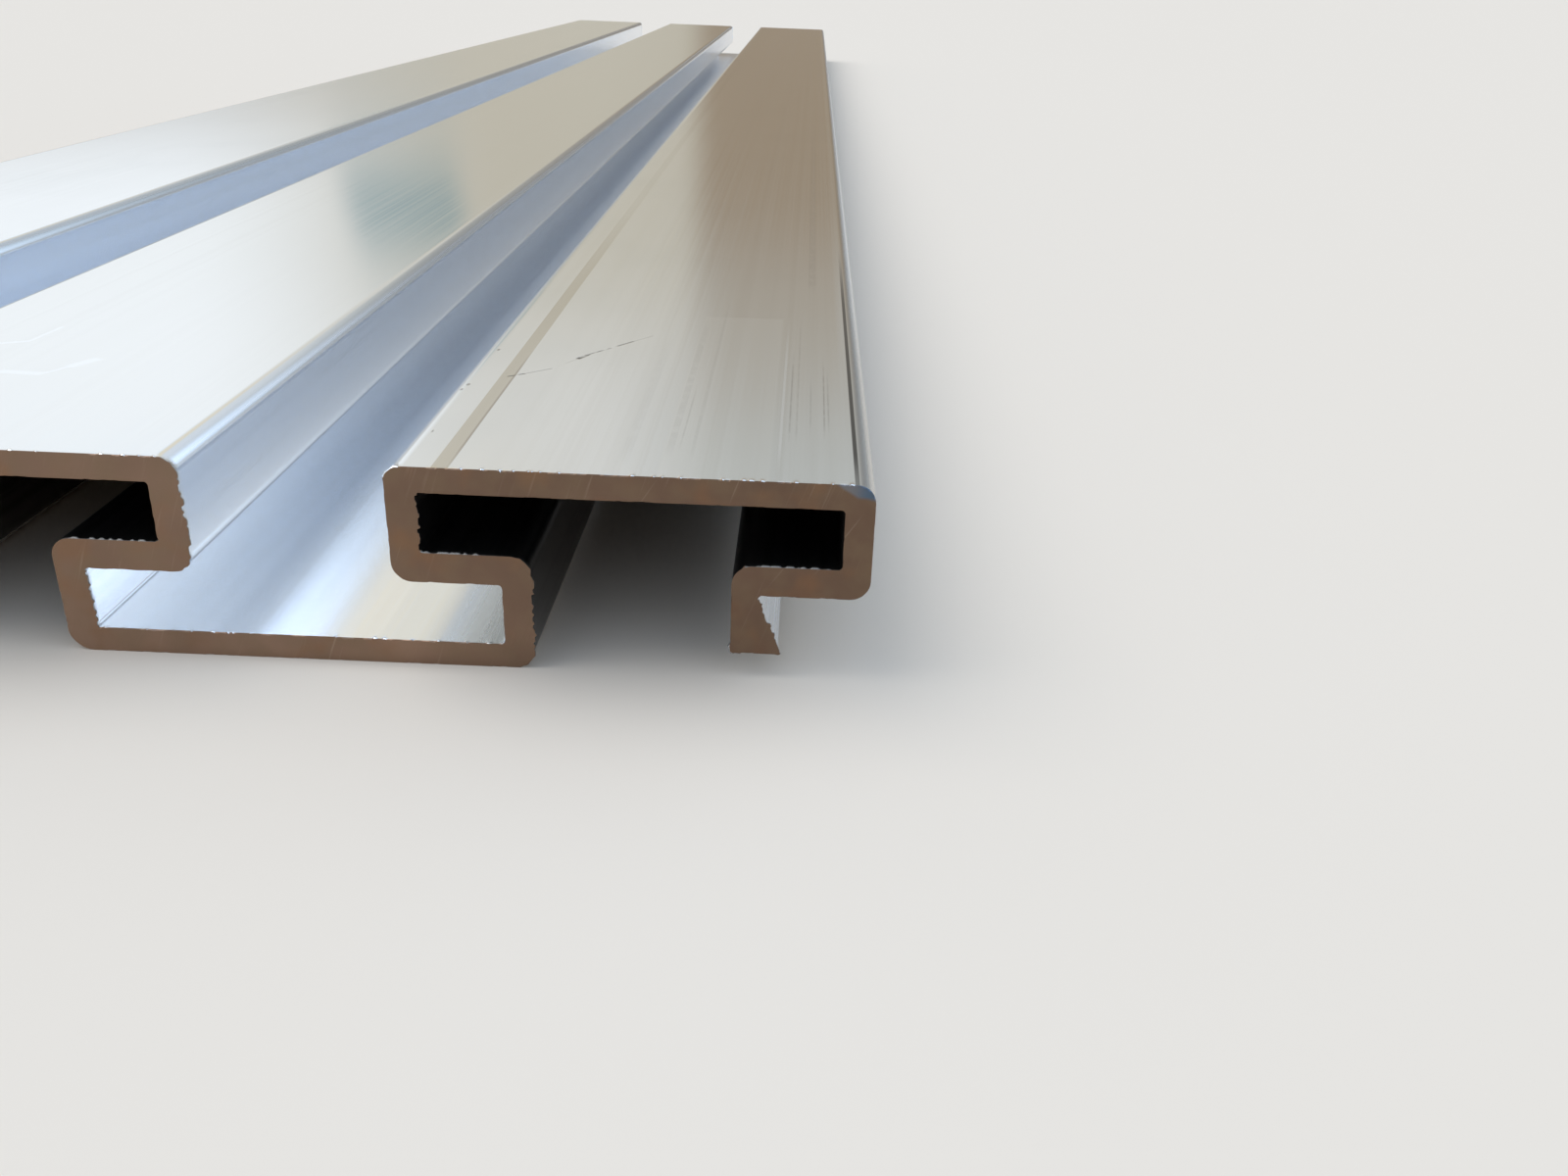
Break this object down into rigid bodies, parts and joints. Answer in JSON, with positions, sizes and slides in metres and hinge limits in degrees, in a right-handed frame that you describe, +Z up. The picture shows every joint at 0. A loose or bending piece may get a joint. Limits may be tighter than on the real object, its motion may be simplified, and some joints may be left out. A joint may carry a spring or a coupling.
{
  "type": "aluminium extrusion profile",
  "caption": "Flat snake-section aluminium extrusion with T-slots opening upward and downward in turn, a hooked foot along one long edge and a leaning catch along the other.",
  "frame": {"origin": "middle of the bounding rectangle of the underside, on the surface the bottom plates lie on", "axes": "+Y along the extrusion, away from the cut end nearest the camera; +X across the section towards the edge with the foot; +Z up from the bottom plates to the top plates"},
  "size_m": [0.1602, 0.7, 0.0159],
  "materials": {
    "aluminium_mill": "mill finish, semi-gloss with fine lengthwise die lines; satin saw-cut ends"
  },
  "bodies": {
    "root": {"t_slot_profile": "aluminium_mill"}
  },
  "joints": []
}
